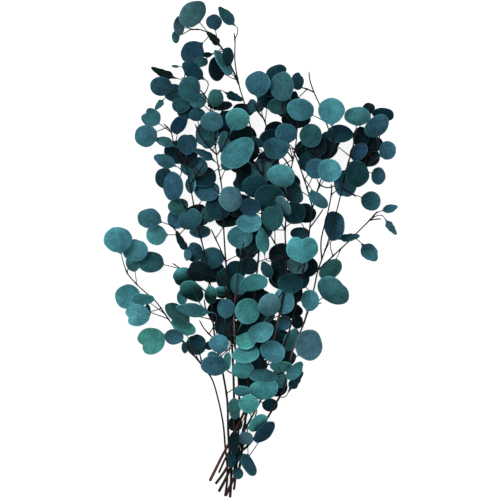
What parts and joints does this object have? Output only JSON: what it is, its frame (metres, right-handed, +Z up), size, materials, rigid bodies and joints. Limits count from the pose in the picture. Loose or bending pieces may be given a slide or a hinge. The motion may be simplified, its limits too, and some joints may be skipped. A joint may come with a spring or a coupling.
{
  "type": "eucalyptus bunch",
  "caption": "Gathered bunch of dyed silver-dollar eucalyptus branches with round teal leaves on thin dark stems, lying on a surface.",
  "frame": {"origin": "on the surface that the bunch lies on, under the centre of its box", "axes": "+Y from the cut ends to the leafy tips, +X to the right seen from above, +Z up"},
  "size_m": [0.2952, 0.4976, 0.0629],
  "materials": {
    "leafy_branch": "matt dyed leaf on dark woody stems"
  },
  "bodies": {
    "root": {"branch_low_left": "leafy_branch", "branch_left": "leafy_branch", "branch_low_centre": "leafy_branch", "branch_upper_left": "leafy_branch", "branch_top": "leafy_branch", "branch_centre_left": "leafy_branch", "branch_top_centre": "leafy_branch", "branch_top_right": "leafy_branch", "branch_right": "leafy_branch"}
  },
  "joints": []
}
